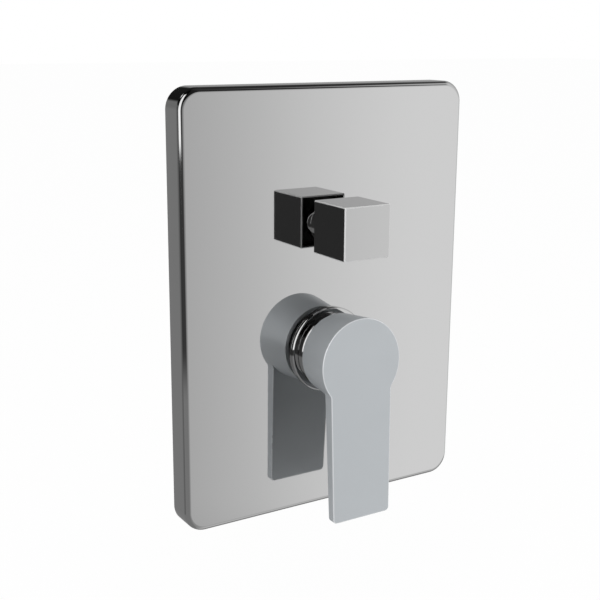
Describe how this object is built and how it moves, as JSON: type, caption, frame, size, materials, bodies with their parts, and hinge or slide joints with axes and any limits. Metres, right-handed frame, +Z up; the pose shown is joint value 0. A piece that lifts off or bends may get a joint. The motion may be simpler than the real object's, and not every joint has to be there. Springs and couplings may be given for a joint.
{
  "type": "concealed mixer",
  "caption": "Concealed bath and shower mixer with a rounded chrome cover plate, a single lever for flow and temperature, and a square pull knob that diverts the water.",
  "frame": {"origin": "centre of the four wall fixing holes, on the mounting bracket's rear face", "axes": "+X right, +Y into the wall, +Z up; the lever and knob face -Y"},
  "size_m": [0.15, 0.1055, 0.2],
  "materials": {
    "polished_chrome": "mirror-polished chrome plate on pressed steel or brass",
    "satin_chrome": "lever, chrome with a slightly softer sheen",
    "cast_brass": "sand-cast, machined at the ports",
    "machined_brass": "turned and left bare",
    "zinc_steel": "zinc-plated",
    "stainless": "turned stainless steel",
    "seal_rubber": "matt black rubber",
    "foam_rubber": "closed-cell foam, matt",
    "white_plastic": "moulded, matt",
    "grey_plastic": "moulded, matt",
    "blue_plastic": "moulded, matt",
    "amber_plastic": "moulded, matt",
    "white_ceramic": "lapped ceramic",
    "ivory_ceramic": "lapped ceramic",
    "chrome_plug": "plated plastic plug"
  },
  "bodies": {
    "valve": {"cover_plate": "polished_chrome", "plate_gasket": "foam_rubber", "mounting_bracket": "zinc_steel", "bracket_screws": "zinc_steel", "valve_body": "cast_brass", "inlet_filters": "stainless", "check_valves": "white_plastic", "cartridge_housing": "grey_plastic", "cartridge_base": "grey_plastic", "base_seals": "seal_rubber", "fixed_disc": "white_ceramic", "retaining_nut": "machined_brass", "handle_sleeve": "polished_chrome", "sleeve_seal": "seal_rubber", "base_ring": "polished_chrome", "ring_seal": "seal_rubber", "diverter_bonnet": "machined_brass", "bonnet_seal": "seal_rubber", "gland_seal": "seal_rubber", "diverter_collar": "polished_chrome", "collar_seal": "seal_rubber", "diverter_cage": "white_plastic", "cage_seals": "seal_rubber", "return_spring": "stainless"},
    "swivel": {"spindle_guide": "blue_plastic", "pivot_pin": "stainless"},
    "lever": {"lever_handle": "satin_chrome", "cartridge_spindle": "machined_brass", "handle_grub_screw": "stainless", "handle_plug": "chrome_plug"},
    "disc": {"disc_carrier": "amber_plastic", "moving_disc": "ivory_ceramic"},
    "diverter": {"diverter_knob": "polished_chrome", "knob_grub_screw": "stainless", "diverter_rod": "machined_brass", "front_washer": "seal_rubber", "rear_washer": "seal_rubber", "rod_nut": "machined_brass"}
  },
  "joints": [
    {"name": "lever_swivel", "type": "hinge", "parent": "valve", "child": "swivel", "pos_m": [0, -0.0765, -0.0225], "axis": [0, 1, 0], "range_deg": [-50, 50]},
    {"name": "lever_lift", "type": "hinge", "parent": "swivel", "child": "lever", "pos_m": [0, -0.0765, -0.0225], "axis": [-1, 0, 0], "range_deg": [0, 15]},
    {"name": "disc_slide", "type": "slide", "parent": "swivel", "child": "disc", "axis": [0, 0, -1], "range_m": [0, 0.00305]},
    {"name": "diverter_pull", "type": "slide", "parent": "valve", "child": "diverter", "axis": [0, -1, 0], "range_m": [0, 0.007], "stiffness_N_per_m": 400, "springref_m": -0.005, "deforming": ["return_spring"]}
  ],
  "couplings": [
    {"joint": "disc_slide", "follows": "lever_lift", "m_per_rad": 0.0115}
  ]
}
